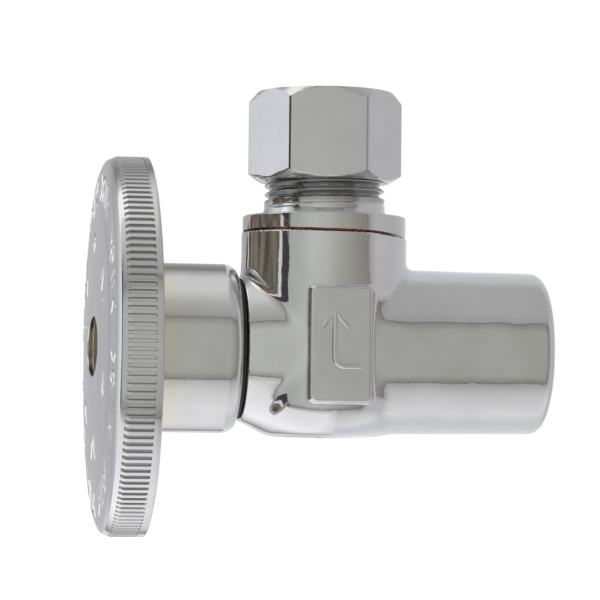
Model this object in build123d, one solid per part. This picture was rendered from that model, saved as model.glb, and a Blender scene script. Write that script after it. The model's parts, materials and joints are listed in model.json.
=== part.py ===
"""Quarter-turn angle stop valve: sweat inlet, compression outlet, knurled round handle.

Everything is built about the valve's centre, where the stem axis (X) crosses the outlet axis (Z),
and is moved at the end so that the origin lies in the mouth of the inlet socket.
The inlet points to +X, the handle to -X and the outlet to +Z. All sizes are in millimetres.
"""

from build123d import *
from math import cos, radians, sin
import os

# --- driving dimensions -------------------------------------------------------------------------
INLET_REACH = 26.1          # valve centre to the inlet socket's mouth
PIPE_SOCKET_R = 7.965       # sweat socket for 15.88 mm (5/8 in) outside diameter copper tube
PIPE_SOCKET_DEPTH = 12.7
INLET_R = 9.7               # inlet barrel, at its root
INLET_END_R = 9.45
BARREL_R = 9.9              # upright barrel
BARREL_TOP_R = 9.65
BARREL_BOTTOM_Z = -10.28
BODY_TOP_Z = 13.6           # face that the outlet nipple is brazed to
NECK_R = 8.4
NECK_END_X = -10.1
PAD_LOW, PAD_HIGH = (-3.15, -6.15), (4.2, 7.1)      # raised pad, in X and Z
PAD_FACE_Y = -10.35

BALL_R = 6.0
PORT_R = 3.2
CAVITY_R = 6.25             # ball chamber
OUTLET_SEAT_R = 4.75
RUN = 0.05                  # radial running clearance of turning parts

SPIGOT_R = 6.6              # bonnet's screwed spigot
HEX_CORNER_R = 8.26         # bonnet's 9/16 in hexagon
HEX_X = (-14.2, -10.75)
BOSS_R, BOSS_END_X = 5.6, -16.9
STEM_R = 3.4
COLLAR_R = 4.6
O_RING_X = (-10.9, -13.5)
O_RING_R = 0.46
GROOVE_R = 2.5

DRIVE_R, DRIVE_FLAT = 3.2, 2.7      # double-D drive end of the stem
DRIVE_START_X, STEM_END_X = -17.0, -22.6
STOP_TAB_HALF = 14.0                # half angle of the stop washer's tab, in degrees
STOP_LUG_ANGLE = 24.0
STOP_GAP = 0.5
QUARTER_TURN = 90.0

HUB_R, HUB_BORE_R, HUB_END_X = 9.9, 8.7, -10.65
RIM_BACK_X, RIM_FRONT_X, FACE_X = -21.3, -25.9, -27.4
RIM_R, RIM_FRONT_R = 22.2, 21.55
KNURL_X = (-25.1, -22.1)
KNURL_FLOOR_R = 21.78
KNURL_COUNT = 152
KNURL_GROOVE_SHARE = 0.52           # share of the pitch that a groove takes at its mouth
FACE_HOLE_R = 3.4
FACE_POCKET = (6.6, 3.5)            # half length along Y and half height of the pocket round the screw

PITCH = 25.4 / 24                   # 9/16-24 outlet thread
THREAD_CREST_R, THREAD_ROOT_R = 7.1, 6.45
NIPPLE_THREAD_Z = (16.7, 25.1)
FLANGE_R, FLANGE_Z = 9.55, (13.85, 15.7)
NIPPLE_SPIGOT_R = 7.4               # sits in the body
NIPPLE_TOP_Z = 25.4
TUBE_SOCKET_R = 4.82                # takes 9.53 mm (3/8 in) outside diameter tube
TUBE_STOP_Z = 17.5
NUT_FLATS = 15.875                  # 5/8 in hexagon
NUT_Z = (19.8, 30.4)
NUT_TURN = -6.2                     # how the nut's hexagon stands, in degrees
NUT_BORE_R = 4.88
NUT_THREAD_CREST_R, NUT_THREAD_ROOT_R = 6.6, 7.25


# --- helpers ------------------------------------------------------------------------------------
def outline(points, rounds=()):
    """Closed outline in the XZ plane. rounds lists (index of a corner, radius)."""
    face = make_face(Polyline(*points, close=True))
    for index, radius in rounds:
        corner = min(face.vertices(), key=lambda v: (Vector(v) - Vector(*points[index])).length)
        face = fillet(corner, radius)
    return Plane.XZ * face


def turned_x(points, rounds=()):
    """Solid turned about X, from (x, radius) points."""
    return revolve(outline(points, rounds), Axis.X)


def turned_z(points, rounds=()):
    """Solid turned about Z, from (radius, z) points."""
    return revolve(outline(points, rounds), Axis.Z)


def rod_x(radius, x_from, x_to):
    low, high = sorted((x_from, x_to))
    return Plane((low, 0, 0), x_dir=(0, 1, 0), z_dir=(1, 0, 0)) * Cylinder(
        radius, high - low, align=(Align.CENTER, Align.CENTER, Align.MIN)
    )


def rod_z(radius, z_from, z_to):
    return Pos(0, 0, z_from) * Cylinder(
        radius, z_to - z_from, align=(Align.CENTER, Align.CENTER, Align.MIN)
    )


def ring_x(inner, outer, x_from, x_to):
    return rod_x(outer, x_from, x_to) - rod_x(inner, x_from - 1, x_to + 1)


def o_ring_x(middle_r, section_r, x):
    return Pos(x, 0, 0) * Rot(0, 90, 0) * Torus(middle_r, section_r)


def hexagon(corner_r):
    return RegularPolygon(corner_r, 6)


def sector_x(inner, outer, x_from, x_to, middle, half):
    """Part of a ring about X. Angles are in degrees about +X from +Y, so that +Z is at 90."""
    reach = 3 * outer
    corners = [(0, 0)]
    for step in (-1, -0.5, 0, 0.5, 1):
        angle = radians(middle + step * half)
        corners.append((reach * cos(angle), reach * sin(angle)))
    plane = Plane((x_from, 0, 0), x_dir=(0, 1, 0), z_dir=(1, 0, 0))
    wedge = extrude(plane * make_face(Polyline(*corners, close=True)), x_to - x_from)
    return ring_x(inner, outer, x_from, x_to) & wedge


def double_d(radius, flat, x_from, x_to):
    slab = Pos((x_from + x_to) / 2, 0, 0) * Box(abs(x_to - x_from), 2 * flat, 4 * radius)
    return rod_x(radius, x_from, x_to) & slab


def helical_ridge(base_r, top_r, base_width, top_width, z_from, z_to, start_angle):
    """One thread ridge, swept along a right-hand helix from z_from to z_to."""
    path = Helix(pitch=PITCH, height=z_to - z_from, radius=base_r)
    section = make_face(
        Polyline(
            (0, -base_width / 2),
            (top_r - base_r, -top_width / 2),
            (top_r - base_r, top_width / 2),
            (0, base_width / 2),
            close=True,
        )
    )
    start = Plane(origin=path @ 0, x_dir=(1, 0, 0), z_dir=path % 0)
    return Pos(0, 0, z_from) * Rot(0, 0, start_angle) * sweep(start * section, path, is_frenet=True)


# --- fixed parts --------------------------------------------------------------------------------
def valve_body():
    barrel = turned_z(
        [
            (0, BARREL_BOTTOM_Z),
            (BARREL_R, BARREL_BOTTOM_Z),
            (BARREL_R, 6.5),
            (BARREL_TOP_R, BODY_TOP_Z),
            (0, BODY_TOP_Z),
        ],
        rounds=[(1, 4.6)],
    )
    inlet = turned_x(
        [(0, 0), (0, INLET_R), (INLET_REACH, INLET_END_R), (INLET_REACH, 0)],
        rounds=[(2, 1.2)],
    )
    neck = turned_x([(0, 0), (NECK_END_X, 0), (NECK_END_X, NECK_R), (0, NECK_R + 0.6)], rounds=[(2, 0.3)])
    low, high = PAD_LOW, PAD_HIGH
    draft = 0.35
    middle = ((low[0] + high[0]) / 2, PAD_FACE_Y, (low[1] + high[1]) / 2)
    pad_plane = Plane(middle, x_dir=(1, 0, 0), z_dir=(0, 1, 0))
    width, height = high[0] - low[0], high[1] - low[1]
    face = pad_plane * RectangleRounded(width - 2 * draft, height - 2 * draft, 0.8)
    foot = pad_plane.offset(2.5) * RectangleRounded(width + draft, height + draft, 1.2)
    pad = loft([face, foot])
    body = barrel + inlet + neck + pad
    cavity = rod_x(SPIGOT_R + RUN, NECK_END_X - 1, -6.5) + turned_x(
        [
            (-7, 0),
            (-7, CAVITY_R),
            (7.6, CAVITY_R),
            (7.6, 4.2),
            (8.6, 4.2),
            (11, 6.6),
            (13.4, 6.6),
            (13.4, 0),
        ]
    )
    socket = turned_x(
        [
            (INLET_REACH - PIPE_SOCKET_DEPTH, 0),
            (INLET_REACH - PIPE_SOCKET_DEPTH, PIPE_SOCKET_R),
            (INLET_REACH + 1, PIPE_SOCKET_R),
            (INLET_REACH + 1, 0),
        ]
    )
    outlet = rod_z(NIPPLE_SPIGOT_R + RUN, 7.6, BODY_TOP_Z + 1) + rod_z(OUTLET_SEAT_R + RUN, 0, 8)
    return body - cavity - socket - outlet


def braze_ring():
    disc = rod_z(BARREL_TOP_R - 0.05, BODY_TOP_Z, FLANGE_Z[0])
    return disc - rod_z(NIPPLE_SPIGOT_R + RUN, BODY_TOP_Z - 1, FLANGE_Z[0] + 1)


def outlet_nipple():
    low, high = FLANGE_Z
    blank = turned_z(
        [
            (PORT_R + 0.4, 7.65),
            (NIPPLE_SPIGOT_R, 7.65),
            (NIPPLE_SPIGOT_R, low),
            (FLANGE_R, low),
            (FLANGE_R, high),
            (7.35, high),
            (7.1, high + 0.6),
            (7.0, NIPPLE_THREAD_Z[0] + 0.3),
            (THREAD_ROOT_R, NIPPLE_THREAD_Z[0] + 0.85),
            (THREAD_ROOT_R, NIPPLE_TOP_Z),
            (5.9, NIPPLE_TOP_Z),
            (TUBE_SOCKET_R, NIPPLE_TOP_Z - 2),
            (TUBE_SOCKET_R, TUBE_STOP_Z),
            (PORT_R + 0.4, TUBE_STOP_Z),
        ],
        rounds=[(4, 0.25), (3, 0.15)],
    )
    bed = 0.1
    start, end = NIPPLE_THREAD_Z
    ridge = helical_ridge(THREAD_ROOT_R - bed, THREAD_CREST_R, 1.03, 0.14, start - PITCH, end + PITCH, 0)
    envelope = turned_z(
        [
            (5.5, NIPPLE_THREAD_Z[0]),
            (THREAD_CREST_R, NIPPLE_THREAD_Z[0]),
            (THREAD_CREST_R + 0.1, NIPPLE_THREAD_Z[1] - 0.4),
            (THREAD_ROOT_R + 0.05, NIPPLE_TOP_Z - 0.02),
            (5.5, NIPPLE_TOP_Z - 0.02),
        ]
    )
    return blank + (ridge & envelope)


def seat(low, outer_r, neck_r):
    """Seat ring about Z that bears on the ball, with a neck for the rubber ring behind it."""
    blank = turned_z(
        [(PORT_R, low), (outer_r, low), (outer_r, 6.55), (neck_r, 6.55), (neck_r, 7.55), (PORT_R, 7.55)]
    )
    return blank - Sphere(BALL_R + 0.04)


def outlet_seat():
    return seat(3.5, OUTLET_SEAT_R, OUTLET_SEAT_R - 1.1)


def outlet_seat_o_ring():
    return Pos(0, 0, 7.07) * Torus(OUTLET_SEAT_R - 1.1 + 0.52, 0.5)


def inlet_seat():
    return Rot(0, 90, 0) * seat(OUTLET_SEAT_R + RUN, CAVITY_R - RUN, CAVITY_R - 1.3)


def inlet_seat_o_ring():
    return o_ring_x(CAVITY_R - 1.3 + 0.54, 0.5, 7.07)


def bonnet():
    hex_low, hex_high = HEX_X
    plane = Plane((hex_low, 0, 0), x_dir=(0, 1, 0), z_dir=(1, 0, 0))
    nut = extrude(plane * hexagon(HEX_CORNER_R), hex_high - hex_low)
    corner = HEX_CORNER_R + 0.1
    chamfer = hex_low + 0.7
    nut &= turned_x([(hex_low, 0), (hex_low, 7.2), (chamfer, corner), (hex_high, corner), (hex_high, 0)])
    blank = nut + rod_x(SPIGOT_R, hex_high, -6.6) + rod_x(BOSS_R, BOSS_END_X, hex_low)
    blank -= rod_x(COLLAR_R + RUN + 0.05, -8.45, -6) + rod_x(STEM_R + RUN, BOSS_END_X - 1, -6)
    side = STOP_TAB_HALF + STOP_GAP + STOP_LUG_ANGLE / 2
    for middle in (90 - side, 90 + QUARTER_TURN + side):
        blank += sector_x(4.45, BOSS_R, BOSS_END_X - 1.2, BOSS_END_X + 0.2, middle, STOP_LUG_ANGLE / 2)
    return blank


def bonnet_seal():
    """Rubber ring between the neck's end and the bonnet's hexagon."""
    return turned_x(
        [(HEX_X[1], SPIGOT_R + 0.02), (HEX_X[1], 8.3), (NECK_END_X, 8.3), (NECK_END_X, SPIGOT_R + 0.02)],
        rounds=[(1, 0.25), (2, 0.25)],
    )


# --- parts that turn with the handle ------------------------------------------------------------
def ball():
    slot = Pos(-BALL_R, 0, 0) * Box(2 * 1.35, 2.4, 2 * BALL_R)
    ports = rod_z(PORT_R, 0, BALL_R + 1) + rod_x(PORT_R, 0, BALL_R + 1) + Sphere(PORT_R)
    return Sphere(BALL_R) - ports - slot


def thrust_washer():
    return ring_x(STEM_R + RUN, COLLAR_R, -8.43, -7.93)


def stem():
    tang = Pos(-5.5, 0, 0) * Box(1.5, 2.3, 6.8)
    blank = (
        tang
        + rod_x(COLLAR_R, -7.9, -6.2)
        + rod_x(STEM_R, DRIVE_START_X, -7.9)
        + double_d(DRIVE_R, DRIVE_FLAT, STEM_END_X, DRIVE_START_X)
    )
    for x in O_RING_X:
        blank -= ring_x(GROOVE_R, STEM_R + 1, x - 0.55, x + 0.55)
    blank -= ring_x(GROOVE_R, STEM_R + 1, -19.0, -18.3)
    return blank - rod_x(1.78, STEM_END_X - 1, -15.5)


def stem_o_ring(x):
    return o_ring_x(GROOVE_R + O_RING_R + 0.01, O_RING_R, x)


def stop_washer():
    low, high = DRIVE_START_X - 1.0, DRIVE_START_X - 0.05
    tab = sector_x(3.6, BOSS_R, low, high, 90, STOP_TAB_HALF)
    hole = double_d(DRIVE_R + 0.04, DRIVE_FLAT + 0.04, low - 1, high + 1)
    return ring_x(2.0, 4.2, low, high) + tab - hole


def stem_clip():
    """E-clip in the stem's groove, which keeps the stop washer on."""
    clip = ring_x(GROOVE_R + 0.02, 4.4, -18.95, -18.35)
    clip -= Pos(-18.65, 0, -4) * Box(2, 3.2, 6)
    for angle in (30, 150):
        # spring reliefs
        clip -= Rot(angle, 0, 0) * Pos(0, 3.15, 0) * rod_x(0.55, -20, -18)
    return clip


def insert_blank(gap):
    """The insert's outside, with the collar that the handle is moulded round."""
    r, collar_r = 4.6 + gap, 5.1 + gap
    low, high = -23.2 - gap, -22.2 + gap
    front, back = -26.8, -19.6
    return turned_x(
        [(front, 0), (front, r), (low, r), (low, collar_r), (high, collar_r), (high, r), (back, r), (back, 0)]
    )


def handle_insert():
    blank = insert_blank(0)
    blank -= rod_x(FACE_HOLE_R, -28, -23.6) + rod_x(2.0, -24, -22)
    return blank - double_d(DRIVE_R + 0.04, DRIVE_FLAT + 0.04, -22.75, -19)


def handle():
    skin = turned_x(
        [
            (FACE_X, 0),
            (FACE_X + 0.08, 7),
            (FACE_X + 0.6, 17),
            (RIM_FRONT_X - 0.5, 20.7),
            (RIM_FRONT_X, RIM_FRONT_R),
            (KNURL_X[0], RIM_R),
            (RIM_BACK_X - 0.3, RIM_R),
            (RIM_BACK_X, RIM_R - 0.35),
            (RIM_BACK_X, HUB_R),
            (HUB_END_X, HUB_R),
            (HUB_END_X, 0),
        ],
        rounds=[(3, 1.2), (9, 1.7)],
    )
    half = radians(180 / KNURL_COUNT) * KNURL_GROOVE_SHARE
    teeth = []
    for i in range(KNURL_COUNT):
        middle = radians(360 / KNURL_COUNT) * i
        # straight flanks: the groove's mouth is wider than its floor
        flanks = ((-half, 22.3), (-0.6 * half, KNURL_FLOOR_R), (0.6 * half, KNURL_FLOOR_R), (half, 22.3))
        for offset, radius in flanks:
            teeth.append((radius * cos(middle + offset), radius * sin(middle + offset)))
    plane = Plane((KNURL_X[0] - 3, 0, 0), x_dir=(0, 1, 0), z_dir=(1, 0, 0))
    star = extrude(plane * make_face(Polyline(*teeth, close=True)), KNURL_X[1] - KNURL_X[0] + 3)
    front = ring_x(20.9, 25, KNURL_X[0] - 3, KNURL_X[1]) - star
    skin -= front
    hub_floor_x, recess_x = -20.6, -24.4
    boss_r = 6.1
    bore = ring_x(boss_r, HUB_BORE_R, hub_floor_x, HUB_END_X + 1)
    bore += rod_x(boss_r + 0.1, -19.6, HUB_END_X + 1)
    back_x = RIM_BACK_X + 1
    recess = turned_x([(recess_x, HUB_R + 1.2), (recess_x, 18.9), (back_x, 20.1), (back_x, HUB_R + 0.6)])
    for i in range(6):
        recess -= Rot(60 * i + 30, 0, 0) * Pos(recess_x, 0, 15) * Box(5.4, 1.2, 14)
    across = Plane((FACE_X - 1, 0, 0), x_dir=(0, 1, 0), z_dir=(1, 0, 0))
    pocket = extrude(across * Ellipse(*FACE_POCKET), 2.1)
    return skin - bore - recess - insert_blank(0.02) - pocket - rod_x(FACE_HOLE_R, -28, -26)


def screw_lock_washer():
    ring = ring_x(1.95, 3.1, -24.2, -23.62)
    gap = Pos(-23.9, 0, 2.6) * Rot(0, 0, 35) * Box(2, 0.35, 2.4)
    return ring - gap


def handle_screw():
    head = turned_x([(-24.22, 0), (-24.22, 3.1), (-25.2, 3.1), (-26.1, 1.9), (-26.1, 0)], rounds=[(2, 0.5)])
    shank = rod_x(1.72, -24.3, -16.6)
    slots = Pos(-26.2, 0, 0) * (Box(1.8, 0.7, 3.6) + Box(1.8, 3.6, 0.7))
    return head + shank - slots


# --- outlet union -------------------------------------------------------------------------------
def compression_sleeve():
    return turned_z(
        [(4.8, 24.9), (4.95, 24.9), (5.7, 26.3), (5.7, 27.2), (5.0, 28.9), (4.8, 28.9)],
        rounds=[(2, 0.5), (3, 0.5)],
    )


def compression_nut():
    low, high = NUT_Z
    corner_r = NUT_FLATS / 3**0.5
    blank = Pos(0, 0, low) * Rot(0, 0, NUT_TURN) * extrude(hexagon(corner_r), high - low)
    corner = corner_r + 0.06
    blank &= turned_z(
        [(0, low), (7.55, low), (corner, low + 1.12), (corner, high - 1.6), (7.85, high), (0, high)]
    )
    inside = turned_z(
        [
            (0, low - 1),
            (NUT_THREAD_ROOT_R + 0.15, low - 1),
            (NUT_THREAD_ROOT_R + 0.15, low + 0.15),
            (NUT_THREAD_ROOT_R, low + 0.3),
            (NUT_THREAD_ROOT_R, 26.7),
            (6.4, 26.7),
            (NUT_BORE_R, 29.3),
            (NUT_BORE_R, high - 0.3),
            (NUT_BORE_R + 0.4, high + 0.1),
            (0, high + 0.1),
        ]
    )
    bed = 0.15
    start = NIPPLE_THREAD_Z[0] + 2.5 * PITCH      # half a pitch off the nipple's ridge
    ridge = helical_ridge(NUT_THREAD_ROOT_R + bed, NUT_THREAD_CREST_R, 1.03, 0.16, start, 26.9, 0)
    ridge &= turned_z([(6.2, low + 0.9), (7.6, low + 0.1), (7.6, 26.1), (6.2, 25.9)])
    return blank - inside + ridge


NODES = {
    "valve_body": valve_body,
    "braze_ring": braze_ring,
    "outlet_nipple": outlet_nipple,
    "outlet_seat": outlet_seat,
    "outlet_seat_o_ring": outlet_seat_o_ring,
    "inlet_seat": inlet_seat,
    "inlet_seat_o_ring": inlet_seat_o_ring,
    "bonnet": bonnet,
    "bonnet_seal": bonnet_seal,
    "ball": ball,
    "thrust_washer": thrust_washer,
    "stem": stem,
    "stem_o_ring_inner": lambda: stem_o_ring(O_RING_X[0]),
    "stem_o_ring_outer": lambda: stem_o_ring(O_RING_X[1]),
    "stop_washer": stop_washer,
    "stem_clip": stem_clip,
    "handle": handle,
    "handle_insert": handle_insert,
    "screw_lock_washer": screw_lock_washer,
    "handle_screw": handle_screw,
    "compression_sleeve": compression_sleeve,
    "compression_nut": compression_nut,
}

os.makedirs("parts", exist_ok=True)
for name, make in NODES.items():
    export_step(Pos(-INLET_REACH, 0, 0) * make(), f"parts/{name}.step")
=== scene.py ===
"""Angle stop valve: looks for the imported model, in the model's own frame (metres).

Shapes are worked out in millimetres about the valve's centre, where the stem axis (X) crosses the
outlet axis (Z), and at_frame() carries them into the frame.
"""

import json
import math

import bpy
import numpy as np
from mathutils import Matrix, Vector


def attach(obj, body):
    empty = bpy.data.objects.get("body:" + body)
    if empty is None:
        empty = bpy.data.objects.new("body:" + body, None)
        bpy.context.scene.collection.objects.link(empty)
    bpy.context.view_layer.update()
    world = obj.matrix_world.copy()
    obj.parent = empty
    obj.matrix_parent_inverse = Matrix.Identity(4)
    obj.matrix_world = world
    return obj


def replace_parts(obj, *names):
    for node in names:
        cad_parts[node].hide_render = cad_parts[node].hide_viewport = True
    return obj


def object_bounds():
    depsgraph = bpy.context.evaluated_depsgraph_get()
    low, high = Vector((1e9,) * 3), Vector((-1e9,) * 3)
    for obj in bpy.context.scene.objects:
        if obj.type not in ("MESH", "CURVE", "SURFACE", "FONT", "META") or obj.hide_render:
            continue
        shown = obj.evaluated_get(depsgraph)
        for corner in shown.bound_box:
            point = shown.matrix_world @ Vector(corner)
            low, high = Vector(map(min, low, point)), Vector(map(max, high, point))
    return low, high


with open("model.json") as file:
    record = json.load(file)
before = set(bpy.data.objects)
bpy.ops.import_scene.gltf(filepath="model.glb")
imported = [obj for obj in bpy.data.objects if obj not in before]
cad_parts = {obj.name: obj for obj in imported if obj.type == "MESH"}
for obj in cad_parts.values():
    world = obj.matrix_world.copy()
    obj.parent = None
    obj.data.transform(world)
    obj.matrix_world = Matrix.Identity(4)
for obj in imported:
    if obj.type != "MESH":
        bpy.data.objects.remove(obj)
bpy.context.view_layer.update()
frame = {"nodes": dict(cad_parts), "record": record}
NODES = frame["nodes"]
OUTLET = next(m for m in frame["record"]["mounts"] if m["name"] == "outlet_tube")
CENTRE = Vector((OUTLET["pos_m"][0], OUTLET["pos_m"][1], 0.0))
MM = 0.001

SCENE = bpy.context.scene
SCENE.view_settings.view_transform = "Standard"
SCENE.view_settings.look = "None"


def at_frame(points):
    """Points in millimetres about the valve's centre, as points in the frame, in metres."""
    return np.asarray(points, float) * MM + np.array(CENTRE)


# --- shader graphs ------------------------------------------------------------------------------
class Field:
    """A number or vector socket in a node tree, with arithmetic."""

    def __init__(self, graph, socket):
        self.graph = graph
        self.socket = socket

    def __add__(self, other):
        return self.graph.math("ADD", self, other)

    def __sub__(self, other):
        return self.graph.math("SUBTRACT", self, other)

    def __mul__(self, other):
        return self.graph.math("MULTIPLY", self, other)

    def __truediv__(self, other):
        return self.graph.math("DIVIDE", self, other)


class Graph:
    """A material's or the world's node tree."""

    def __init__(self, tree):
        self.tree = tree
        tree.nodes.clear()

    def node(self, kind, inputs=(), **settings):
        made = self.tree.nodes.new(kind)
        for name, value in settings.items():
            setattr(made, name, value)
        for name, value in dict(inputs).items():
            self.put(made.inputs[name], value)
        return made

    def put(self, socket, value):
        if isinstance(value, Field):
            self.tree.links.new(value.socket, socket)
        elif value is not None:
            socket.default_value = value

    def math(self, operation, *values, clamp=False):
        made = self.node("ShaderNodeMath", operation=operation, use_clamp=clamp)
        for socket, value in zip(made.inputs, values):
            self.put(socket, value)
        return Field(self, made.outputs[0])

    def out(self, made, name=0):
        return Field(self, made.outputs[name])

    def axes(self, coordinates="Object"):
        """The x, y and z of a point, in metres in the frame, or of a direction for Generated."""
        place = self.out(self.node("ShaderNodeTexCoord"), coordinates)
        split = self.node("ShaderNodeSeparateXYZ", {"Vector": place})
        return [self.out(split, axis) for axis in "XYZ"]

    def step(self, value, low, high):
        """0 below low, 1 above high, smooth between. low may be above high, for a falling step."""
        made = self.node("ShaderNodeMapRange", interpolation_type="SMOOTHSTEP")
        if low > high:
            low, high = high, low
            bottom, top = 1.0, 0.0
        else:
            bottom, top = 0.0, 1.0
        settings = {"Value": value, "From Min": low, "From Max": high, "To Min": bottom, "To Max": top}
        for name, setting in settings.items():
            self.put(made.inputs[name], setting)
        return self.out(made, "Result")

    def between(self, value, low, high, soft):
        return self.step(value, low - soft, low + soft) * self.step(value, high + soft, high - soft)

    def mix(self, factor, a, b):
        """Mixes two colours, given as fields or as tuples."""
        made = self.node("ShaderNodeMix", data_type="RGBA")
        self.put(made.inputs[0], factor)
        for index, value in ((6, a), (7, b)):
            self.put(made.inputs[index], value if isinstance(value, Field) else (*value, 1.0))
        return self.out(made, 2)

    def ramp(self, value, stops):
        """Colour ramp from (place, colour) stops."""
        made = self.node("ShaderNodeValToRGB", {"Fac": value})
        elements = made.color_ramp.elements
        while len(elements) < len(stops):
            elements.new(0.5)
        for element, (place, colour) in zip(elements, stops):
            element.position = place
            element.color = (*colour, 1.0)
        return self.out(made, "Color")

    def noise(self, scale, detail=2.0, roughness=0.5, stretch=(1, 1, 1), vector=None):
        """Noise in the frame's coordinates. scale is in features per millimetre."""
        if vector is None:
            vector = self.out(self.node("ShaderNodeTexCoord"), "Object")
        place = self.node("ShaderNodeMapping", {"Vector": vector, "Scale": tuple(s / MM for s in stretch)})
        inputs = {"Vector": self.out(place), "Scale": scale, "Detail": detail, "Roughness": roughness}
        return self.out(self.node("ShaderNodeTexNoise", inputs))

    def bump(self, height, distance, normal=None, strength=1.0):
        """distance is in millimetres."""
        inputs = {"Height": height, "Distance": distance * MM, "Strength": strength}
        if normal is not None:
            inputs["Normal"] = normal
        return self.out(self.node("ShaderNodeBump", inputs))


def srgb(code):
    """Linear colour from a hexadecimal sRGB code."""
    values = [int(code[i : i + 2], 16) / 255 for i in (0, 2, 4)]
    return tuple(v / 12.92 if v <= 0.04045 else ((v + 0.055) / 1.055) ** 2.4 for v in values)


def scaled(colour, factor):
    return tuple(c * factor for c in colour)


# --- the studio ---------------------------------------------------------------------------------
CHROME = 0.62               # how much of what it mirrors a chrome surface gives back


def seen(code):
    """Radiance that looks like this colour when mirrored in chrome."""
    return scaled(srgb(code), 1 / CHROME)


def make_world():
    """White to the eye. Chrome mirrors a grey card in front, with soft lights round it."""
    world = bpy.data.worlds.new("studio")
    SCENE.world = world
    world.use_nodes = True
    g = Graph(world.node_tree)
    x, y, z = g.axes("Generated")
    front = g.math("MAXIMUM", y * -1.0, 0.001)
    across, up = x / front, z / front
    # over: how far round the X axis, in degrees, 0 in front, 90 overhead, 180 behind
    over = g.math("ARCTAN2", z, y * -1.0) * (180 / math.pi)
    round_z = g.math("ARCTAN2", x, y * -1.0) * (180 / math.pi)
    right = g.step(x, 0.155, 0.185)

    def by_angle(angle, stops):
        """Colour by an angle in degrees; stops are (angle, colour code)."""
        place = (angle + 180.0) / 360.0
        return g.ramp(place, [((a + 180.0) / 360.0, seen(code)) for a, code in stops])

    left_sweep = by_angle(over, [
        (-180, "9C9CA0"), (-172, "A8A8AC"), (-164, "C4C5C9"), (-160, "C4C5C9"), (-154, "7A7A7A"),
        (-146, "B8B8B8"), (-138, "CECECE"), (-116, "DBDBDB"), (-90, "D8D8D8"), (-62, "CACACA"),
        (-46, "B4B3B1"), (40, "909090"), (52, "A2A19F"), (64, "ACABA9"), (76, "C0C0BE"), (86, "C9CAC6"),
        (108, "C8C8C7"), (120, "ACACAC"), (134, "767676"), (152, "8A8A8A"), (168, "9C9C9E"),
        (180, "9C9CA0"),
    ])
    right_sweep = by_angle(over, [
        (-180, "C0C0C4"), (-150, "C7C8C9"), (-118, "C4C5C7"), (-108, "CACBCD"), (-98, "D3D3D3"),
        (-70, "C4C4C4"), (-57, "B4B4B4"), (-46, "9C9C9A"), (42, "9A9A9A"), (56, "A1A1A1"),
        (104, "A3A3A3"), (112, "AAABAA"), (122, "B9BABB"), (180, "BEBFC4"),
    ])
    sweep = g.mix(right, left_sweep, right_sweep)
    # to the sides the upright surfaces look into broad soft lights
    sides = by_angle(round_z, [
        (-180, "98989C"), (-150, "A2A2A6"), (-134, "B4B5B9"), (-124, "D4D5DA"), (-84, "CBCCD0"),
        (-77, "A8A8A6"), (-73, "3E403C"), (-62, "34362F"), (-57, "8A8A88"), (0, "A0A09E"), (54, "86837E"),
        (60, "A6A3A1"), (68, "B3B1B1"), (100, "AEAEB0"), (140, "B4B4B6"), (180, "BCBCC0"),
    ])
    level = g.math("ABSOLUTE", z)
    to_side = g.step(level, 0.75, 0.45) * g.step(g.math("ABSOLUTE", x), 0.3, 0.62)
    surround = g.mix(to_side, sweep, sides)
    # a brighter light low on the left, and a strip of it overhead
    low_left = by_angle(over, [
        (-180, "D8D8D8"), (-140, "D8D8D8"), (-122, "F0F0F0"), (-109, "EBEBEB"), (-79, "E1E1E1"),
        (-50, "D8D8D8"),
    ])
    low = g.step(x, 0.15, 0.0) * g.between(over, -138, -54, 5)
    surround = g.mix(low, surround, low_left)
    overhead = g.step(x, -0.20, -0.32) * g.between(over, 90, 114, 4)
    surround = g.mix(overhead, surround, seen("F2F2F0"))
    tones = (
        (0.0, "A6A8A4"), (0.2, "B4B6B3"), (0.45, "AEAFAC"), (0.6, "A2A39E"), (0.8, "989790"), (1.0, "85817B"),
    )
    card = g.ramp(g.step(round_z, -60, 60), [(place, seen(code)) for place, code in tones])
    # it darkens towards its top and bottom edges
    edge = g.step(up, 0.52, 0.84) + g.step(up, -0.62, -0.95)
    card = g.mix(edge * 0.35, card, seen("50504C"))
    in_front = g.step(y, 0.0, -0.05)
    # the card's edge is a thin dark line that wavers a little
    direction = g.out(g.node("ShaderNodeTexCoord"), "Generated")
    wobble = (g.noise(2.2 * MM, 3.0, vector=direction) - 0.5) * 0.05
    line = g.between(across, -1.66, 1.42, 0.02) * g.between(up + wobble, -1.02, 0.90, 0.02) * in_front
    inner = g.between(across, -1.60, 1.36, 0.02) * g.between(up + wobble, -0.95, 0.84, 0.03) * in_front
    surround = g.mix(line, surround, seen("747471"))
    surround = g.mix(inner, surround, card)
    mirrored = g.node("ShaderNodeBackground", {"Color": surround, "Strength": 1.0})
    plain = g.node("ShaderNodeBackground", {"Color": (1, 1, 1, 1), "Strength": 1.0})
    eye = g.out(g.node("ShaderNodeLightPath"), "Is Camera Ray")
    both = g.node("ShaderNodeMixShader", {0: eye, 1: g.out(mirrored), 2: g.out(plain)})
    g.node("ShaderNodeOutputWorld", {"Surface": g.out(both)})


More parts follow.
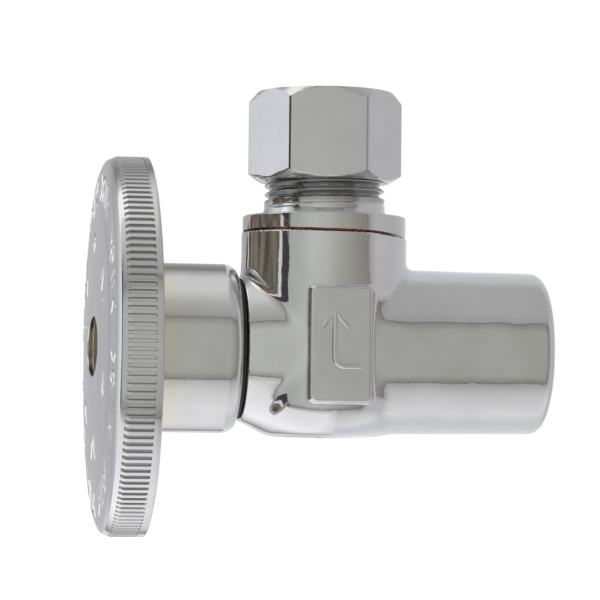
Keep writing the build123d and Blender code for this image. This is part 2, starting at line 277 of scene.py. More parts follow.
def make_floor():
    half, drop = 2.0, 0.03
    low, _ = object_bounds()
    mesh = bpy.data.meshes.new("floor")
    corners = ((-half, -half), (half, -half), (half, half), (-half, half))
    mesh.from_pydata([(x, y, low.z - drop) for x, y in corners], [], [(0, 1, 2, 3)])
    floor = bpy.data.objects.new("floor", mesh)
    SCENE.collection.objects.link(floor)
    material = bpy.data.materials.new("floor_white")
    material.use_nodes = True
    g = Graph(material.node_tree)
    shader = g.node("ShaderNodeBsdfPrincipled", {
        "Base Color": (0.86, 0.86, 0.86, 1), "Roughness": 0.9, "Specular IOR Level": 0.0,
        "Emission Color": (1, 1, 1, 1), "Emission Strength": 1.0})
    g.node("ShaderNodeOutputMaterial", {"Surface": g.out(shader)})
    mesh.materials.append(material)
    floor.visible_glossy = False


def make_card():
    """Round studio card just behind the handle, seen only in the reflections on the body. It glows, and there
    it is a painted reflection of the handle's hollow back.

    It is brown, then has a light strip and a dark one to each side.
    """
    card_x, hole_r, card_r, count = -21.15, 10.1, 21.9, 96
    angles = np.linspace(0, 2 * math.pi, count, endpoint=False)
    points = [(card_x, r * math.cos(a), r * math.sin(a)) for r in (hole_r, card_r) for a in angles]
    faces = [(i, count + i, count + (i + 1) % count, (i + 1) % count) for i in range(count)]
    mesh = bpy.data.meshes.new("card")
    mesh.from_pydata(at_frame(points), [], faces)
    card = bpy.data.objects.new("card", mesh)
    SCENE.collection.objects.link(card)
    material = bpy.data.materials.new("card")
    material.use_nodes = True
    g = Graph(material.node_tree)
    aside = g.math("ABSOLUTE", g.axes()[1])
    streaks = g.step(g.noise(0.22, 5.0, 0.65, (1, 1.6, 0.4)), 0.38, 0.62)
    brown = g.mix(streaks, seen("49443D"), seen("776F66"))
    strips = g.mix(g.step(aside, 13.4 * MM, 13.8 * MM), brown, seen("3C3B3E"))
    strips = g.mix(g.between(aside, 11.6 * MM, 13.4 * MM, 0.2 * MM), strips, seen("C8C8C6"))
    strips = g.mix(g.step(aside, 17.7 * MM, 18.0 * MM), strips, seen("A8A8A4"))
    # the card glows with these colours: a painted reflection of the handle's hollow back, with its light and
    # dark strips
    shown = g.node("ShaderNodeEmission", {"Color": strips, "Strength": 1.0})
    clear = g.node("ShaderNodeBsdfTransparent")
    behind = g.out(g.node("ShaderNodeNewGeometry"), "Backfacing")
    both = g.node("ShaderNodeMixShader", {0: behind, 1: g.out(shown), 2: g.out(clear)})
    g.node("ShaderNodeOutputMaterial", {"Surface": g.out(both)})
    mesh.materials.append(material)
    card.visible_camera = False
    card.visible_diffuse = False
    card.visible_shadow = False


def make_light(name, place, target, size, power):
    data = bpy.data.lights.new(name, "AREA")
    data.shape = "DISK"
    data.size = size
    data.energy = power
    light = bpy.data.objects.new(name, data)
    SCENE.collection.objects.link(light)
    light.location = place
    light.rotation_mode = "QUATERNION"
    light.rotation_quaternion = (Vector(target) - Vector(place)).to_track_quat("-Z", "Y")
    light.visible_glossy = False


def make_camera():
    """Long lens, a little to the handle's side and below the valve, looking slightly up."""
    yaw, pitch, roll = (math.radians(a) for a in (9.12, 2.82, -0.66))
    distance = 354.0
    target = Vector((-2.79, 0.0, 5.871))
    forward = Vector((math.sin(yaw) * math.cos(pitch), math.cos(yaw) * math.cos(pitch), math.sin(pitch)))
    right = Vector((math.cos(yaw), -math.sin(yaw), 0.0))
    up = right.cross(forward)
    rolled_right = math.cos(roll) * right - math.sin(roll) * up
    rolled_up = math.sin(roll) * right + math.cos(roll) * up
    data = bpy.data.cameras.new("camera")
    data.sensor_width = 36.0
    data.lens = 180.0
    data.clip_start, data.clip_end = 0.01, 20.0
    camera = bpy.data.objects.new("camera", data)
    SCENE.collection.objects.link(camera)
    turn = Matrix((rolled_right, rolled_up, -forward)).transposed()
    place = Vector(at_frame(target - distance * forward))
    camera.matrix_world = Matrix.Translation(place) @ turn.to_4x4()
    SCENE.camera = camera


# --- materials ----------------------------------------------------------------------------------
def principled(name, build):
    """New material; build(graph) returns the shader's inputs."""
    material = bpy.data.materials.new(name)
    material.use_nodes = True
    g = Graph(material.node_tree)
    shader = g.node("ShaderNodeBsdfPrincipled", build(g))
    g.node("ShaderNodeOutputMaterial", {"Surface": g.out(shader)})
    return material


def recess_finish(g):
    """How far a point is inside the handle's hollow back, 0 to 1, and the duller colour there."""
    x, y, z = g.axes()
    radius = g.math("SQRT", y * y + z * z)
    x = x - CENTRE.x
    ring = g.step(radius, 10.0 * MM, 10.1 * MM) * g.step(radius, 20.3 * MM, 20.1 * MM)
    inside = ring * g.step(x, -24.8 * MM, -24.7 * MM) * g.step(x, -21.25 * MM, -21.4 * MM)
    blotch = g.step(g.noise(0.35, 4.0, 0.6), 0.35, 0.65)
    return inside, g.mix(blotch, (0.30, 0.275, 0.24), (0.50, 0.47, 0.42))


def pocket_finish_and_shade(g):
    """How far a point is inside the pocket round the screw, 0 to 1, and the dull colour there, with painted
    shade at the pocket's top and bottom.
    """
    x, y, z = g.axes()
    radius = g.math("SQRT", y * y + z * z)
    inside = g.step(radius, 6.9 * MM, 6.8 * MM) * g.step(x - CENTRE.x, -27.19 * MM, -27.13 * MM)
    blotch = g.step(g.noise(0.5, 3.0, 0.6), 0.35, 0.65)
    olive = g.mix(blotch, (0.30, 0.285, 0.235), (0.50, 0.46, 0.38))
    # painted shade: the pocket goes near black towards its top and bottom ends
    painted_end_shade = g.step(g.math("ABSOLUTE", z), 1.9 * MM, 2.7 * MM)
    return inside, g.mix(painted_end_shade, olive, (0.03, 0.03, 0.025))


def hub_tint(g):
    """The plating yellows slightly where the hub meets the wheel."""
    x, y, z = g.axes()
    radius = g.math("SQRT", y * y + z * z)
    x = x - CENTRE.x
    wander = (g.noise(0.3, 3.0) - 0.5) * (2.5 * MM)
    near_wheel = g.step(x + wander, -16.8 * MM, -20.5 * MM)
    return near_wheel * g.step(x, -21.5 * MM, -21.3 * MM) * g.step(radius, 10.3 * MM, 10.1 * MM)


TURNED = {"base": (0.58, 0.58, 0.585), "rough": 0.05, "pits": 0.35, "streak": (1, 1, 0.35)}


def handle_wear_and_shade(g, colour, roughness):
    """Dull cast metal in the hollow back and in the pocket, painted shade at the pocket's top and bottom, and
    a tint on the hub.
    """
    recess, dull = recess_finish(g)
    colour = g.mix(hub_tint(g), colour, (0.62, 0.585, 0.48))
    colour = g.mix(recess, colour, dull)
    # the pocket's colour includes painted shade at its top and bottom ends
    pocket, olive = pocket_finish_and_shade(g)
    colour = g.mix(pocket, colour, olive)
    return colour, roughness + (recess + pocket) * 0.25


def worn_thread(g, colour, roughness):
    """The cut thread is darker and less bright than the flange below it."""
    cut = g.step(g.axes()[2], 16.9 * MM, 17.5 * MM)
    return g.mix(cut, colour, scaled(TURNED["base"], 0.66)), roughness + cut * 0.1


def chrome(name, base=(0.62, 0.62, 0.63), rough=0.05, waves=0.0, pits=0.5, streak=(1, 1, 1), worn=None):
    """Chrome plate. waves is the depth in millimetres of the casting's slow unevenness.

    worn(graph, colour, roughness) gives them back with the changes of one kind of part.
    """

    def build(g):
        haze = g.noise(0.9, 4.0, 0.6, streak)
        smudge = g.noise(0.16, 3.0, 0.55)
        speckle = g.noise(5.5, 2.0, 0.5)
        pit = g.step(speckle, 0.30, 0.20)
        roughness = g.step(haze, 0.35, 0.75) * 0.045 + rough
        roughness = roughness + pit * (0.5 * pits)
        tone = g.mix(g.step(smudge, 0.35, 0.7), scaled(base, 0.95), scaled(base, 1.02))
        colour = g.mix(pit * pits, tone, scaled(base, 0.35))
        if worn:
            colour, roughness = worn(g, colour, roughness)
        normal = None
        if waves:
            normal = g.bump(g.noise(0.22, 1.5, 0.45, streak), waves)
        fine = g.bump(g.noise(1.1, 3.0, 0.6, streak), 0.0035 + waves * 0.06, normal)
        dents = g.bump(g.step(speckle, 0.34, 0.2), -0.03 * pits, fine)
        return {"Base Color": colour, "Metallic": 1.0, "Roughness": roughness, "Normal": dents}

    return principled(name, build)


def brass(name, base=(0.52, 0.43, 0.29), rough=0.28):
    def build(g):
        blotch = g.noise(0.35, 4.0, 0.6)
        colour = g.mix(g.step(blotch, 0.35, 0.68), scaled(base, 0.62), base)
        turning = g.noise(1.2, 3.0, 0.6, (6, 1, 1))
        roughness = g.step(turning, 0.3, 0.7) * 0.18 + rough
        normal = g.bump(turning, 0.01)
        return {"Base Color": colour, "Metallic": 1.0, "Roughness": roughness, "Normal": normal}

    return principled(name, build)


def steel(name):
    def build(g):
        grain = g.noise(2.0, 4.0, 0.6, (1, 4, 1))
        colour = g.mix(g.step(grain, 0.3, 0.7), (0.30, 0.30, 0.30), (0.46, 0.45, 0.44))
        roughness = g.step(grain, 0.2, 0.8) * 0.2 + 0.22
        normal = g.bump(grain, 0.008)
        return {"Base Color": colour, "Metallic": 1.0, "Roughness": roughness, "Normal": normal}

    return principled(name, build)


def rubber(name):
    def build(g):
        grain = g.noise(3.5, 4.0, 0.65)
        colour = g.mix(g.step(grain, 0.35, 0.7), (0.005, 0.005, 0.005), (0.016, 0.015, 0.014))
        return {
            "Base Color": colour,
            "Roughness": g.step(grain, 0.3, 0.7) * 0.2 + 0.45,
            "Specular IOR Level": 0.35,
            "Normal": g.bump(grain, 0.02),
        }

    return principled(name, build)


def seat_plastic(name):
    def build(g):
        grain = g.noise(1.6, 3.0, 0.6)
        colour = g.mix(g.step(grain, 0.3, 0.7), (0.74, 0.74, 0.71), (0.84, 0.84, 0.82))
        roughness = g.step(grain, 0.2, 0.8) * 0.12 + 0.38
        return {"Base Color": colour, "Roughness": roughness, "Normal": g.bump(grain, 0.01)}

    return principled(name, build)


def braze(name):
    def build(g):
        blotch = g.noise(1.4, 3.0, 0.6)
        colour = g.mix(g.step(blotch, 0.35, 0.65), (0.055, 0.016, 0.010), (0.24, 0.085, 0.045))
        return {"Base Color": colour, "Metallic": 0.85, "Roughness": 0.38, "Normal": g.bump(blotch, 0.05)}

    return principled(name, build)


# --- meshes -------------------------------------------------------------------------------------
def mesh_object(name, points, faces, body, slot, normals=None, finish=None):
    """Mesh from points in millimetres about the valve's centre, riding on a CAD body."""
    mesh = bpy.data.meshes.new(name)
    mesh.from_pydata(at_frame(points), [], faces.tolist())
    mesh.shade_smooth()
    if normals is not None:
        mesh.normals_split_custom_set_from_vertices(normals)
    mesh.materials.append(MATERIALS[finish or slot])
    made = bpy.data.objects.new(name, mesh)
    SCENE.collection.objects.link(made)
    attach(made, body)
    return made


def smooth_min(a, b, k):
    """The smaller of two, blended over a band k wide."""
    share = np.clip(0.5 + 0.5 * (b - a) / k, 0, 1)
    return b + (a - b) * share - k * share * (1 - share)


def smooth_step(value, low, high):
    t = np.clip((value - low) / (high - low), 0, 1)
    return t * t * (3 - 2 * t)


def rounded(side, end, radius):
    """Distance to where both distances are negative, with the edge between them rounded."""
    s, e = side + radius, end + radius
    return np.minimum(np.maximum(s, e), 0) + np.hypot(np.maximum(s, 0), np.maximum(e, 0)) - radius


def gradient(field, points, reach=0.02):
    slopes = []
    for axis in range(3):
        shift = np.zeros(3)
        shift[axis] = reach
        slopes.append((field(points + shift) - field(points - shift)) / (2 * reach))
    return np.stack(slopes, axis=1)


def surface_net(field, low, high, cell):
    """Quads, points and normals of the surface where a distance field is zero."""
    axes = [np.arange(a, b + cell, cell) for a, b in zip(low, high)]
    shape = tuple(len(a) for a in axes)
    grid = np.stack(np.meshgrid(*axes, indexing="ij"), axis=-1).reshape(-1, 3)
    value = field(grid).reshape(shape)
    corner_steps = [(i, j, k) for i in (0, 1) for j in (0, 1) for k in (0, 1)]
    cells = tuple(n - 1 for n in shape)
    corners = np.stack(
        [value[i : i + cells[0], j : j + cells[1], k : k + cells[2]] for i, j, k in corner_steps], axis=-1
    )
    inside = (corners < 0).sum(axis=-1)
    active = (inside > 0) & (inside < 8)
    number = np.full(cells, -1)
    number[active] = np.arange(active.sum())
    corners = corners[active]
    base = np.argwhere(active) * cell + np.array(low)
    total, count = np.zeros((len(base), 3)), np.zeros((len(base), 1))
    for a, first in enumerate(corner_steps):
        for b, second in enumerate(corner_steps):
            difference = np.subtract(second, first)
            if difference.min() < 0 or difference.sum() != 1:
                continue
            crosses = ((corners[:, a] < 0) != (corners[:, b] < 0))[:, None]
            drop = corners[:, a] - corners[:, b]
            share = corners[:, a] / np.where(drop == 0, 1, drop)
            place = (np.array(first) + share[:, None] * difference) * cell
            total += np.where(crosses, place, 0)
            count += crosses
    points = base + total / count
    for _ in range(3):
        slope = gradient(field, points)
        step = (field(points) / np.maximum((slope**2).sum(axis=1), 1e-6))[:, None] * slope
        points = points - np.clip(step, -0.4 * cell, 0.4 * cell)
    solid = value < 0
    quads = []
    for axis in range(3):
        others = [o for o in range(3) if o != axis]
        near = [slice(1, -1)] * 3
        near[axis] = slice(0, -1)
        far = list(near)
        far[axis] = slice(1, None)
        near, far = solid[tuple(near)], solid[tuple(far)]
        places = np.argwhere(near != far)
        outward = near[tuple(places.T)]
        ring = []
        for u, v in ((0, 0), (1, 0), (1, 1), (0, 1)):
            at = places.copy()
            at[:, others[0]] += u
            at[:, others[1]] += v
            ring.append(number[tuple(at.T)])
        ring = np.stack(ring, axis=1)
        flip = outward if axis == 1 else ~outward
        ring[flip] = ring[flip][:, ::-1]
        quads.append(ring)
    normals = gradient(field, points)
    normals /= np.linalg.norm(normals, axis=1, keepdims=True)
    return points, np.concatenate(quads), normals


def turned(name, rows, body, slot, axis="x", sharp=32, finish=None):
    """Closed mesh from rings of points. rows has the shape (rings, columns, 3): along, radius, angle."""
    along, radius, angle = rows[..., 0], rows[..., 1], rows[..., 2]
    side, rise = radius * np.cos(angle), radius * np.sin(angle)
    points = np.stack((along, side, rise) if axis == "x" else (side, rise, along), axis=-1)
    rings, columns = along.shape
    index = np.arange(rings * columns).reshape(rings, columns)
    following, beside = np.roll(index, -1, axis=0), np.roll(index, -1, axis=1)
    diagonal = np.roll(following, -1, axis=1)
    faces = np.stack((index, beside, diagonal, following), axis=-1).reshape(-1, 4)
    made = mesh_object(name, points.reshape(-1, 3), faces, body, slot, finish=finish)
    made.data.set_sharp_from_angle(angle=math.radians(sharp))
    return made


def loop(corners, arc_steps=5):
    """Points round a closed outline of (along, radius, rounding, step) corners.

    step divides the straight run from this corner to the next; 0 leaves it whole.
    """
    count = len(corners)
    path = []
    ends = []
    for i, (a, r, rounding, _) in enumerate(corners):
        here = np.array((a, r))
        before = np.array(corners[i - 1][:2]) - here
        after = np.array(corners[(i + 1) % count][:2]) - here
        before /= np.linalg.norm(before)
        after /= np.linalg.norm(after)
        if rounding == 0:
            ends.append([here])
            continue
        half = math.acos(np.clip(before @ after, -1, 1)) / 2
        reach = rounding / math.tan(half)
        middle = here + (before + after) / np.linalg.norm(before + after) * rounding / math.sin(half)
        start, stop = here + before * reach - middle, here + after * reach - middle
        sweep = math.atan2(start[0] * stop[1] - start[1] * stop[0], start @ stop)
        bend = []
        for t in np.linspace(0, sweep, arc_steps + 1):
            cos, sin = math.cos(t), math.sin(t)
            spoke = np.array((start[0] * cos - start[1] * sin, start[0] * sin + start[1] * cos))
            bend.append(middle + spoke)
        ends.append(bend)
    for i, bend in enumerate(ends):
        path.extend(bend)
        step = corners[i][3]
        if step:
            start, stop = bend[-1], ends[(i + 1) % count][0]
            parts = max(1, int(round(np.linalg.norm(stop - start) / step)))
            for t in range(1, parts):
                path.append(start + (stop - start) * t / parts)
    return np.array(path)


def rings(path, angles):
    """Array of (along, radius, angle) for each point of the path at each angle."""
    rows = np.empty((len(path), len(angles), 3))
    rows[..., 0] = path[:, None, 0]
    rows[..., 1] = path[:, None, 1]
    rows[..., 2] = angles[None, :]
    return rows


# --- the casting --------------------------------------------------------------------------------
PAD_MIDDLE = (0.42, 0.41)           # in X and Z
PAD_HALF = (3.57, 6.64)
PAD_FACE_Y = -10.35
BODY_TOP_Z, NECK_END_X, INLET_END_X = 13.6, -10.1, 26.1
SOCKET_R, SOCKET_START_X = 7.965, 13.4
BED_R, BED_LOW_Z = 7.45, 7.6        # bed of the nipple
BOW_COUNT = 7                       # waves that make up the casting's unevenness


def casting_waves(points, depth):
    """Slow unevenness that polishing leaves on a casting."""
    random = np.random.default_rng(7)
    total = np.zeros(len(points))
    for _ in range(BOW_COUNT):
        way = random.normal(size=3)
        way /= np.linalg.norm(way)
        total += np.sin(points @ way * (2 * math.pi / random.uniform(5.0, 12.0)) + random.uniform(0, 6.28))
    return total * depth / BOW_COUNT


def joint_rise(x):
    """How much higher than its mean the joint with the nipple runs. It dips towards the inlet."""
    rise = 0.1 * smooth_step(-x, 5.0, 9.5)
    return rise - 0.14 * smooth_step(x, -6.0, 2.0) - 0.42 * smooth_step(x, 3.0, 9.6)


def casting(points):
    """Distance in millimetres from the valve's cast body."""
    x, y, z = points.T
    from_z, from_x = np.hypot(x, y), np.hypot(y, z)
    barrel_r = 9.88 - 0.12 * smooth_step(z, 7.0, 11.0)
    # the underside is a shallow dome
    under = -10.3 - z + from_z**2 / 150
    barrel = rounded(from_z - barrel_r, under, 4.1)
    inlet_r = 9.77 - 0.22 * np.clip((x - 6) / 20, 0, 1)
    inlet = np.maximum(rounded(np.hypot(y, z + 0.07) - inlet_r, x - INLET_END_X, 1.35), -x)
    # the neck flares towards the barrel, most of all underneath
    down = smooth_step(-z / np.maximum(from_x, 1), 0.45, 1.0)
    neck_r = 8.45 + (0.17 + 0.27 * down) * np.maximum(x - NECK_END_X, 0)
    neck_r = smooth_min(neck_r, 9.4 + 0.75 * down, 0.5)
    neck = np.maximum(rounded((from_x - neck_r) * 0.95, NECK_END_X - x, 0.3), x)
    solid = smooth_min(barrel, neck, 0.5)
    solid = smooth_min(solid, inlet, 0.95)
    depth = np.maximum(y - PAD_FACE_Y, 0)
    draft = np.where(x < PAD_MIDDLE[0], 0.05, 0.32)
    wide = np.abs(x - PAD_MIDDLE[0]) - PAD_HALF[0] - draft * depth
    high = np.abs(z - PAD_MIDDLE[1]) - PAD_HALF[1] - 0.05 * depth
    pad = np.maximum(rounded(rounded(wide, high, 0.75) * 0.94, PAD_FACE_Y - y, 0.2), y + 6)
    solid = smooth_min(solid, pad, 0.3)
    solid = solid + casting_waves(points, 0.05)
    solid = np.maximum(rounded(solid, z - BODY_TOP_Z - joint_rise(x), 0.12), x - INLET_END_X + 0.01)
    waterway = np.maximum(from_x - np.interp(x, (8.6, 11.0), (4.2, 6.6)), 7.5 - x)
    bores = [
        np.maximum(from_x - SOCKET_R, SOCKET_START_X - x),
        waterway,
        np.maximum(from_x - 6.25, np.abs(x - 0.3) - 7.3),
        np.maximum(from_x - 6.65, x + 6.5),
        np.maximum(from_z - BED_R, BED_LOW_Z - z),
        np.maximum(from_z - 4.8, -z),
    ]
    return -smooth_min(-solid, np.minimum.reduce(bores), 0.25)


def make_casting():
    cell = 0.26
    points, quads, normals = surface_net(casting, (-10.6, -11.2, -10.9), (26.6, 10.6, 14.1), cell)
    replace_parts(mesh_object("cast_body", points, quads, "valve", "chrome_cast", normals), "valve_body")


def tube_stroke(name, strokes, radius, body, slot, finish=None):
    """Raised lines: a thin round bead along each stroke's points, given in millimetres."""
    curve = bpy.data.curves.new(name, "CURVE")
    curve.dimensions = "3D"
    curve.bevel_depth = radius * MM
    curve.bevel_resolution = 4
    curve.use_fill_caps = True
    for stroke in strokes:
        spline = curve.splines.new("POLY")
        spline.points.add(len(stroke) - 1)
        for place, point in zip(spline.points, at_frame(stroke)):
            place.co = (*point, 1.0)
    curve.materials.append(MATERIALS[finish or slot])
    made = bpy.data.objects.new(name, curve)
    SCENE.collection.objects.link(made)
    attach(made, body)
    return made


def make_flow_arrow():
    """Plain flow mark on the pad: in from the inlet's side, round a bend and up to the outlet."""
    y = PAD_FACE_Y - 0.04
    bend, wing_x, wing_z = 1.2, 1.5, 1.9
    middle_x, low_z, top_z, right_x = -0.35, -2.2, 4.2, 2.75
    shaft = [(right_x, y, low_z), (middle_x + bend, y, low_z)]
    for step in range(1, 8):
        angle = math.radians(270 - 90 * step / 7)
        shaft.append((middle_x + bend + bend * math.cos(angle), y, low_z + bend + bend * math.sin(angle)))
    shaft.append((middle_x, y, top_z))
    wings = [(middle_x + side * wing_x, y, top_z - wing_z) for side in (-1, 1)]
    head = [wings[0], (middle_x, y, top_z), wings[1]]
    tube_stroke("flow_arrow", [shaft, head], 0.34, "valve", "chrome_cast")


# --- the outlet ---------------------------------------------------------------------------------
PITCH = 25.4 / 24
THREAD_START_Z = 16.7
THREAD_ROOT_R, THREAD_CREST_R = 6.45, 7.1
FLANGE_R, FLANGE_LOW_Z, FLANGE_TOP_Z = 9.63, 13.85, 15.7
SPIGOT_R, WATERWAY_R, TUBE_R = 7.4, 3.6, 4.82
NIPPLE_TOP_Z = 25.4


def ridge(along, angle, base_width, top_width, offset):
    """Height from 0 to 1 of a right-hand thread ridge."""
    phase = (along - THREAD_START_Z) / PITCH - angle / (2 * math.pi) + offset
    away = np.abs(phase - np.round(phase)) * PITCH
    return smooth_step(base_width / 2 - away, -0.06, (base_width - top_width) / 2 + 0.06)


def make_nipple():
    path = loop([
        (7.65, WATERWAY_R, 0, 0), (7.65, SPIGOT_R, 0, 0), (FLANGE_LOW_Z, SPIGOT_R, 0, 0),
        (FLANGE_LOW_Z, FLANGE_R, 0.12, 0), (FLANGE_TOP_Z, FLANGE_R, 0.22, 0), (FLANGE_TOP_Z, 7.4, 0.2, 0.2),
        (16.5, 7.15, 0, 0.055), (NIPPLE_TOP_Z, 6.6, 0.12, 0), (NIPPLE_TOP_Z, 5.9, 0.15, 0),
        (NIPPLE_TOP_Z - 2.0, TUBE_R, 0.1, 0), (17.5, TUBE_R, 0, 0), (17.5, WATERWAY_R, 0.1, 0),
    ])
    rows = rings(path, np.linspace(0, 2 * math.pi, 180, endpoint=False))
    along, radius, angle = rows[..., 0], rows[..., 1], rows[..., 2]
    height = ridge(along, angle, 0.98, 0.10, 0.0)
    # the thread runs out at the flange and is chamfered at its end
    run_out = 0.6 * smooth_step(18.2 - along, 0.1, 1.2)
    cut = THREAD_ROOT_R + (THREAD_CREST_R - THREAD_ROOT_R) * height + run_out
    threaded = (along > 16.5) & (along < NIPPLE_TOP_Z - 0.01) & (radius > 6)
    top = THREAD_CREST_R - 0.5 * smooth_step(along, 24.7, 25.4) + 0.05 * smooth_step(17.4 - along, 0, 0.8)
    rows[..., 1] = np.where(threaded, smooth_min(cut, top, 0.05), radius)
    lower_edge = (np.abs(along - 13.9) < 0.2) & (radius > 9)
    rows[..., 0] = along + np.where(lower_edge, joint_rise(radius * np.cos(angle)), 0)
    nipple = turned("nipple", rows, "valve", "chrome_turned", "z", finish="chrome_thread")
    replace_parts(nipple, "outlet_nipple")


NUT_LOW, NUT_HIGH = 19.8, 30.4
NUT_HALF_FLATS = 15.875 / 2
NUT_TURN = math.radians(-6.2 + 30)
NUT_WORN_R = 9.055                  # to the narrow flats worn on its upright edges
NUT_ROOT_R, NUT_RIDGE, NUT_BORE_R = 7.25, 0.65, 4.88


def make_nut():
    corner = NUT_HALF_FLATS / math.cos(math.pi / 6)
    path = loop([
        (NUT_LOW, 7.45, 0, 0), (NUT_LOW, 7.6, 0, 0), (NUT_LOW + 0.02, corner, 0, 0.1),
        (NUT_LOW + 1.6, corner, 0, 0.9), (NUT_HIGH - 2.2, corner, 0, 0.1), (NUT_HIGH - 0.02, corner, 0, 0),
        (NUT_HIGH, 7.8, 0, 0), (NUT_HIGH, 5.25, 0, 0), (NUT_HIGH - 0.35, NUT_BORE_R, 0.1, 0),
        (29.3, NUT_BORE_R, 0.2, 0), (26.7, 6.4, 0, 0), (26.7, NUT_ROOT_R, 0, 0.055),
        (NUT_LOW + 0.3, NUT_ROOT_R, 0, 0),
    ])
    # columns crowd together at the worn edges
    half = np.array([0, 7, 14, 21, 25, 27, 27.9, 28.3, 28.55, 28.8, 29.2])
    offsets = np.radians(np.concatenate(([-30], -half[:0:-1], half)))
    angles = np.concatenate([NUT_TURN + k * math.pi / 3 + offsets for k in range(6)])
    rows = rings(path, angles)
    along, radius, angle = rows[..., 0], rows[..., 1], rows[..., 2]
    turn = (angle - NUT_TURN) % (math.pi / 3)
    facing = np.maximum(np.cos(turn), np.cos(turn - math.pi / 3))
    # each upright edge is worn to a narrow flat
    worn = NUT_WORN_R / np.cos(turn - math.pi / 6)
    hexagon = smooth_min(NUT_HALF_FLATS / facing, worn, 0.02)
    cone = np.minimum(7.75 + 1.5 * (along - NUT_LOW), 8.0 + 0.9 * (NUT_HIGH - along))
    outside = radius > 7.59
    rows[..., 1] = np.where(outside, smooth_min(hexagon, cone, 0.14), radius)
    threaded = (radius == NUT_ROOT_R) & (along < 26.1)
    inner = ridge(along, angle, 1.0, 0.14, 0.5) * smooth_step(along, NUT_LOW + 0.3, NUT_LOW + 1.0)
    rows[..., 1] = np.where(threaded, NUT_ROOT_R - NUT_RIDGE * inner, rows[..., 1])
    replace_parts(turned("nut", rows, "nut", "chrome_turned", "z", sharp=24), "compression_nut")


def make_braze():
    """Thin uneven bead of braze round the joint, in front of the CAD's ring."""
    columns, sides = 360, 8
    random = np.random.default_rng(3)
    angles = np.linspace(0, 2 * math.pi, columns, endpoint=False)
    wander, swell = np.zeros_like(angles), np.zeros_like(angles)
    for waves in range(2, 40):
        wander += random.normal() / waves * np.cos(waves * angles + random.uniform(0, 6.28))
        swell += random.normal() / waves**0.6 * np.cos(waves * angles + random.uniform(0, 6.28))
    section = np.linspace(0, 2 * math.pi, sides, endpoint=False)
    thick = np.clip(0.042 + 0.014 * swell, 0.012, 0.08)
    rows = np.empty((sides, columns, 3))
    middle = BODY_TOP_Z + 0.13 + joint_rise(9.6 * np.cos(angles)) + 0.02 * wander
    rows[..., 0] = middle[None, :] + thick[None, :] * np.sin(section)[:, None]
    rows[..., 1] = 9.59 + 1.1 * thick[None, :] * np.cos(section)[:, None]
    rows[..., 2] = angles[None, :]
    turned("braze_bead", rows, "valve", "braze", "z")


# --- the handle ---------------------------------------------------------------------------------
KNURLS = 152
KNURL_FLOOR_R = 21.78
KNURL_START, KNURL_END = -25.2, -22.1
RIM_R, RIM_BACK_X = 22.2, -21.3
# the face's profile, as (radius, x), with a low step inside the ring of marks
FACE = (
    (0.0, -27.29), (6.6, -27.25), (11.0, -27.1), (15.7, -26.88), (16.2, -26.74), (20.6, -26.46),
    (21.4, -26.17),
)
POCKET = (6.6, 3.5)                 # half length along Y and half height of the pocket round the screw
POCKET_FLOOR_X = -26.75
POCKET_BLEND_R = 10.0
INSERT_R, COLLAR_R = 4.62, 5.12     # bed of the brass insert
RECESS_X = -24.4
HUB_R, HUB_BORE_R, HUB_END_X = 9.9, 8.7, -10.65
RIB_COUNT = 6


def face_x(radius):
    return np.interp(radius, *zip(*FACE))


def polar(radius, degrees):
    angle = math.radians(degrees)
    return (radius * math.cos(angle), radius * math.sin(angle))


def arc(radius, start, stop, steps=10):
    return [polar(radius, start + (stop - start) * i / steps) for i in range(steps + 1)]


def arc_arrow(radius, start, stop, size):
    """Curved arrow along an arc, as two strokes."""
    back = stop - math.copysign(math.degrees(size / radius), stop - start)
    head = [polar(radius - size * 0.7, back), polar(radius, stop), polar(radius + size * 0.7, back)]
    return [arc(radius, start, stop), head]


def face_marks():
    """Plain raised marks: chevrons, diamonds and ticks round the rim, small turn arrows inside."""
    strokes = []
    low, middle, high = 17.1, 18.5, 19.9
    for group in range(8):
        base = 45 * group + 4
        strokes.append([polar(low, base), polar(middle, base + 4), polar(high, base)])
        base += 9
        sides = polar(middle, base + 3), polar(middle, base - 3)
        strokes.append([polar(low, base), sides[0], polar(high, base), sides[1], polar(low, base)])
        base += 8
        strokes.append([polar(low, base), polar(high, base)])
        strokes.append([polar(low, base + 3.5), polar(high, base + 3.5)])
        base += 13
        strokes.append([polar(low, base), polar(middle, base - 4), polar(high, base)])
    for k in range(6):
        base = 60 * k + 14
        if k % 2:
            strokes += arc_arrow(12.3, base, base + 16, 1.5)
        else:
            strokes.append([polar(10.6, base), polar(13.4, base + 6), polar(10.9, base + 12)])
            strokes.append([polar(11.2, base + 20), polar(13.2, base + 24)])
    return strokes


def make_face_marks():
    raised = []
    for stroke in face_marks():
        fine = [stroke[0]]
        for (ay, az), (by, bz) in zip(stroke, stroke[1:]):
            parts = max(1, int(math.hypot(by - ay, bz - az) / 0.6))
            fine += [(ay + (by - ay) * i / parts, az + (bz - az) * i / parts) for i in range(1, parts + 1)]
        raised.append([(face_x(math.hypot(y, z)) + 0.07, y, z) for y, z in fine])
    tube_stroke("face_marks", raised, 0.17, "turning_handle", "chrome_handle", "chrome_marks")


